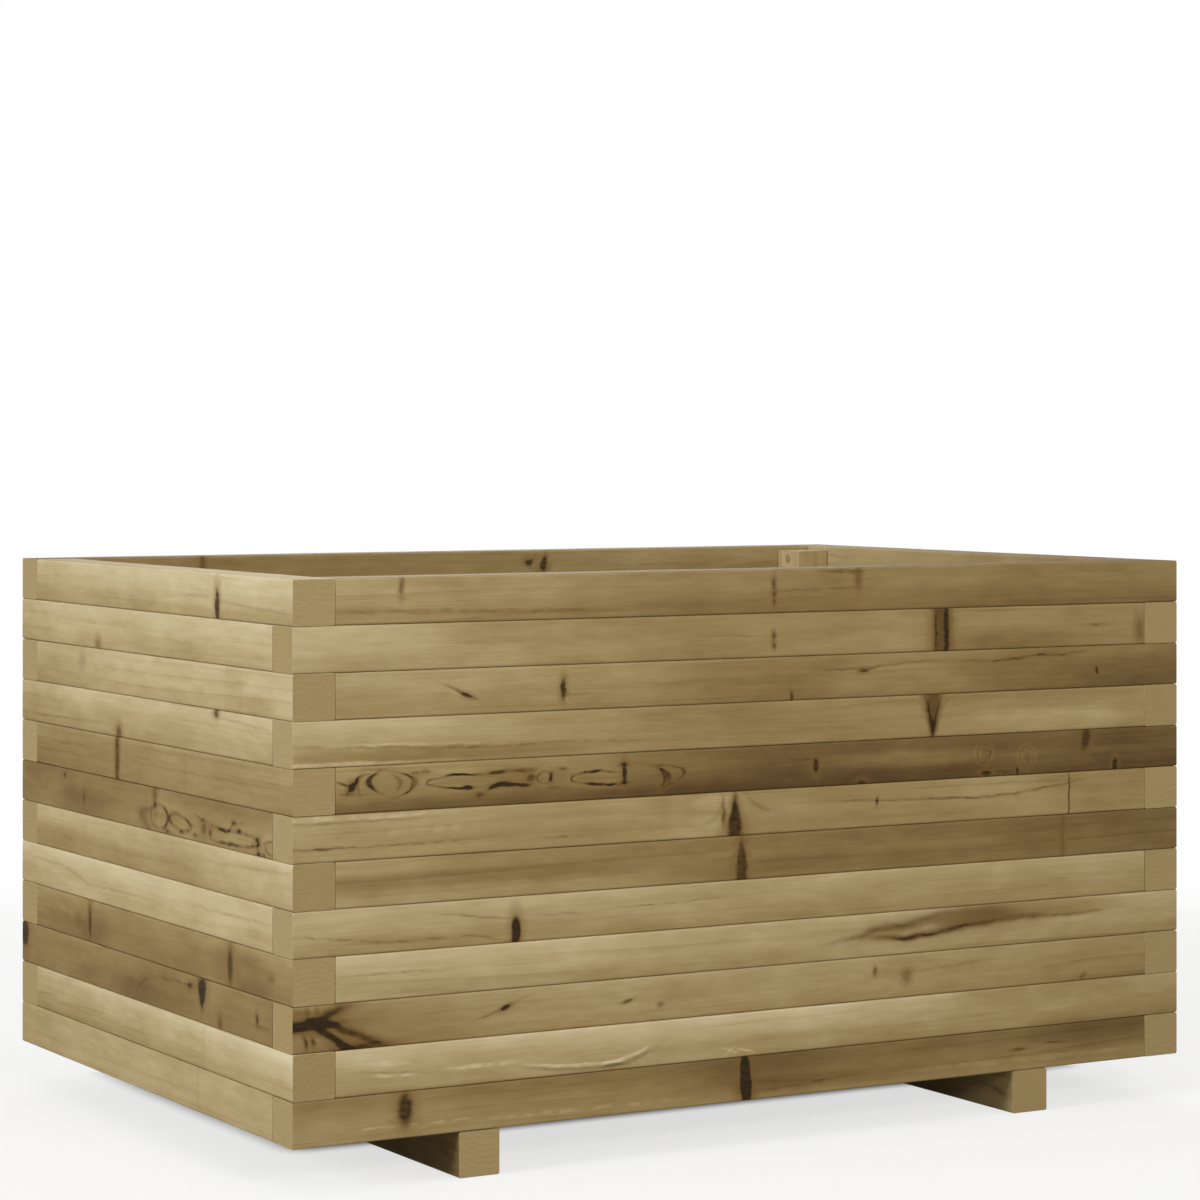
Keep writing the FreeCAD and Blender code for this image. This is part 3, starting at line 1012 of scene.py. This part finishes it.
def post_screws():
    """One screw through a post into each bar end that it meets."""
    for corner in CORNERS:
        post = post_name(corner)
        side = extent(post).x
        for course in COURSES:
            for wall, rise in zip(corner, (-SCREW_STAGGER, SCREW_STAGGER)):
                head = middle(post) - WALL_OUTWARD[wall] * side / 2
                head.z = middle(bar_name(wall, course)).z + rise
                yield Screw("long_screws", post, head, WALL_OUTWARD[wall], side + SCREW_BITE)


def skid_screws():
    """One screw up through each skid into the bottom bar of each long wall."""
    for skid in SKIDS:
        for wall in ("front", "back"):
            height = extent(skid).z
            head = Vector((middle(skid).x, middle(bar_name(wall, 1)).y, middle(skid).z - height / 2))
            yield Screw("long_screws", skid, head, Vector((0, 0, 1)), height + SCREW_BITE)


def floor_screws():
    """Two screws down through each board into each skid."""
    for board in BOARDS:
        width, thickness = extent(board).yz
        for skid in SKIDS:
            for side in (-1, 1):
                head = middle(board) + Vector((0, side * (width / 2 - BOARD_SCREW_INSET), thickness / 2))
                head.x = middle(skid).x
                yield Screw("floor_screws", board, head, Vector((0, 0, -1)), thickness + SCREW_BITE)


SCREWS = [*post_screws(), *skid_screws(), *floor_screws()]
TURNS = [math.tau * side / SCREW_SIDES for side in range(SCREW_SIDES)]


def circle(diameter, depth):
    """Points round a screw's axis at a depth."""
    return [(diameter / 2 * math.cos(turn), diameter / 2 * math.sin(turn), depth) for turn in TURNS]


def cross(share, depth):
    """Points round the outline of the cross in a screw's head, at that share of its size."""
    points = []
    for turn in TURNS:
        off_arm = abs((turn + math.pi / 4) % (math.pi / 2) - math.pi / 4)
        reach = min(DRIVE_ARM, DRIVE_HALF_WIDTH / max(math.sin(off_arm), LEAST_SINE)) * share
        points.append((reach * math.cos(turn), reach * math.sin(turn), depth))
    return points


def add_turned(shape, place, rings):
    """Add a closed body through rings of points about an axis."""
    loops = [[shape.verts.new(place @ Vector(point)) for point in ring] for ring in rings]
    for ring, following in zip(loops, loops[1:]):
        for side in range(SCREW_SIDES):
            shape.faces.new((ring[side - 1], ring[side], following[side], following[side - 1]))
    shape.faces.new(loops[0])
    shape.faces.new(loops[-1])


def screw_place(screw):
    """The screw's own +Z is its way into the timber, from the timber's face."""
    return Matrix.Translation(screw.head) @ screw.way.to_track_quat("Z", "Y").to_matrix().to_4x4()


def screw_pockets(node):
    """The pockets round the heads of the screws that are driven through a timber."""
    cutters = bmesh.new()
    bottom = SCREW_HEAD_DIAMETER + 2 * POCKET_PLAY
    rings = [circle(bottom + 2 * POCKET_FLARE, -CUT_OVERRUN), circle(bottom, POCKET_DEPTH)]
    for screw in SCREWS:
        if screw.through == node:
            add_turned(cutters, screw_place(screw), rings)
    return cutters


def add_notches(cutters, board):
    """Add the room that a floor board leaves round each post."""
    for corner in CORNERS:
        post = post_name(corner)
        room = extent(post) + Vector((1, 1, 0)) * 2 * BOARD_POST_GAP
        room.z = 2 * extent(board).z
        place = middle(post)
        place.z = middle(board).z
        matrix = Matrix.Translation(place) @ Matrix.Diagonal((*room, 1))
        bmesh.ops.create_cube(cutters, size=1.0, matrix=matrix)


STEEL_COLOURS = ((0.62, 0.50, 0.24, 1.0), (0.72, 0.63, 0.40, 1.0))
STEEL_WAVES = (160.0, 160.0, 160.0)
STEEL_ROUGHNESS = 0.42


def steel_material():
    """Yellow zinc on steel, a little cloudy."""
    material, tree, shader = new_material("zinc_steel")
    place = add(tree, "TexCoord")["Object"]
    clouds = noise(place, STEEL_WAVES)
    tree.links.new(mix_colours(clouds, *STEEL_COLOURS), shader["Base Color"])
    shader["Metallic"].default_value = 1.0
    shader["Roughness"].default_value = STEEL_ROUGHNESS
    return material


def make_screws():
    steel = steel_material()
    draw = random.Random("screws")
    for group in ("long_screws", "floor_screws"):
        shape = bmesh.new()
        for screw in SCREWS:
            if screw.group != group:
                continue
            rim = SCREW_HEAD_DIAMETER - 2 * SCREW_HEAD_EDGE
            rings = [
                cross(DRIVE_BOTTOM_SHARE, SCREW_RECESS + DRIVE_DEPTH),
                cross(1.0, SCREW_RECESS),
                circle(rim, SCREW_RECESS),
                circle(SCREW_HEAD_DIAMETER, SCREW_RECESS + SCREW_HEAD_EDGE),
                circle(SCREW_DIAMETER, SCREW_RECESS + SCREW_HEAD_DEPTH),
                circle(SCREW_DIAMETER, screw.reach - SCREW_TIP_LENGTH),
                circle(SCREW_TIP_DIAMETER, screw.reach),
            ]
            spin = Matrix.Rotation(draw.uniform(0.0, math.tau), 4, "Z")
            add_turned(shape, screw_place(screw) @ spin, rings)
        made = add_piece(f"steel_{group}", finished_mesh(f"steel_{group}", shape))
        made.data.materials.append(steel)
        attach(made, "root")
        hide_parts(group)


# Floor, light and camera

FLOOR_SIZE = 30.0
FLOOR_DROP = 0.0002
FLOOR_WHITE_SHARE = 0.7
FLOOR_FADE = (0.8, 1.8)
FLOOR_COLOUR = (0.85, 0.85, 0.85, 1.0)
FLOOR_BOUNCE_COLOUR = (0.30, 0.30, 0.285, 1.0)
# Where the floor's own shade begins and is full, in from the left and front walls, and its edge behind.
FLOOR_SHADE_INSETS = {"X": (0.06, 0.10), "Y": (0.15, 0.185)}
FLOOR_SHADE_EDGE = 0.02
WHITE = (1.0, 1.0, 1.0, 1.0)


def seen_directly(tree):
    """1 for what the camera sees, straight or in a mirror, and 0 for light that falls on things."""
    path = add(tree, "LightPath")
    mirrored = calc("MAXIMUM", path["Is Glossy Ray"], path["Is Transmission Ray"])
    return calc("MAXIMUM", path["Is Camera Ray"], mirrored)


def open_share(tree, place):
    """0 on the floor under the object, past what shows under its left and front walls, and 1 elsewhere."""
    spot = add(tree, "SeparateXYZ", [place])
    under = 1.0
    for axis, low, high in zip("XY", *cad_bounds):
        start, end = FLOOR_SHADE_INSETS[axis]
        under = times(under, ease(spot[axis], low + start, low + end))
        under = times(under, ease(spot[axis], high + FLOOR_SHADE_EDGE, high))
    return minus(1.0, under)


def floor_material():
    """Pale close to the object, where it takes the shadow, and white further off."""
    material, tree, _ = new_material("pale_floor")
    tree.nodes.clear()
    place = add(tree, "TexCoord")["Object"]
    far = ease(calc_vector("LENGTH", place), *FLOOR_FADE)
    white_share = calc("MAXIMUM", far, FLOOR_WHITE_SHARE)
    white_share = times(white_share, open_share(tree, place))
    pale = add(tree, "BsdfDiffuse", [FLOOR_COLOUR])[0]
    white = add(tree, "Emission", [WHITE])[0]
    shown = add(tree, "MixShader", [white_share, pale, white])[0]
    bounce = add(tree, "BsdfDiffuse", [FLOOR_BOUNCE_COLOUR])[0]
    surface = add(tree, "MixShader", [seen_directly(tree), bounce, shown])[0]
    add(tree, "OutputMaterial", [surface])
    return material


def make_floor():
    half = FLOOR_SIZE / 2
    mesh = bpy.data.meshes.new("floor")
    corners = [(x, y, -FLOOR_DROP) for x, y in ((-half, -half), (half, -half), (half, half), (-half, half))]
    mesh.from_pydata(corners, [], [(0, 1, 2, 3)])
    mesh.materials.append(floor_material())
    add_piece("floor", mesh)


SKY_TOP = (0.54, 0.54, 0.54, 1.0)
SKY_HORIZON = (0.12, 0.12, 0.12, 1.0)
SKY_RISE_SHARES = (0.0, 0.5)
# A cool lamp on the left, a warm one in front and a soft one behind: their place, size, power and colour.
LAMPS = {
    "side_lamp": ((-4.2, -0.6, 1.6), 1.0, 116.0, (0.975, 1.0, 1.0)),
    "front_lamp": ((-0.33, -3.0, 1.3), 0.5, 43.0, (1.0, 0.975, 0.88)),
    "back_lamp": ((1.7, 3.4, 1.6), 1.5, 60.0, (1.0, 0.99, 0.96)),
}
LAMP_AIM = Vector((0.0, 0.0, 0.25))


def make_sky():
    """Soft light from above that fades to the horizon, and plain white where the camera sees it."""
    world = bpy.data.worlds.new("studio")
    scene.world = world
    world.use_nodes = True
    tree = world.node_tree
    tree.nodes.clear()
    way = add(tree, "TexCoord")["Generated"]
    up = add(tree, "SeparateXYZ", [way])["Z"]
    colour = mix_colours(ease(up, *SKY_RISE_SHARES), SKY_HORIZON, SKY_TOP)
    sky = add(tree, "Background", [colour, 1.0])[0]
    white = add(tree, "Background", [WHITE, 1.0])[0]
    surface = add(tree, "MixShader", [seen_directly(tree), sky, white])[0]
    add(tree, "OutputWorld", [surface])


def add_lamp(name, place, size, power, colour):
    data = bpy.data.lights.new(name, "AREA")
    data.size = size
    data.energy = power
    data.color = colour
    lamp = add_piece(name, data)
    lamp.location = place
    lamp.rotation_euler = (LAMP_AIM - lamp.location).to_track_quat("-Z", "Y").to_euler()


def make_light():
    make_sky()
    for name, lamp in LAMPS.items():
        add_lamp(name, *lamp)


CAMERA_PLACE = (-1.6531, -2.8725, 0.604)
CAMERA_TURN = -0.524
CAMERA_LENS_MM = 106.356
CAMERA_SENSOR_MM = 36.0
CAMERA_SHIFT_UP = -0.13207


def make_camera():
    """A level camera to the left of the front wall, its frame shifted down to the object."""
    data = bpy.data.cameras.new("camera")
    data.lens = CAMERA_LENS_MM
    data.sensor_width = CAMERA_SENSOR_MM
    data.shift_y = CAMERA_SHIFT_UP
    camera = add_piece("camera", data)
    camera.location = CAMERA_PLACE
    camera.rotation_euler = (math.pi / 2, 0.0, CAMERA_TURN)
    scene.camera = camera


make_timbers()
make_screws()
make_floor()
make_light()
make_camera()
scene.view_settings.view_transform = "Standard"

bpy.context.view_layer.update()
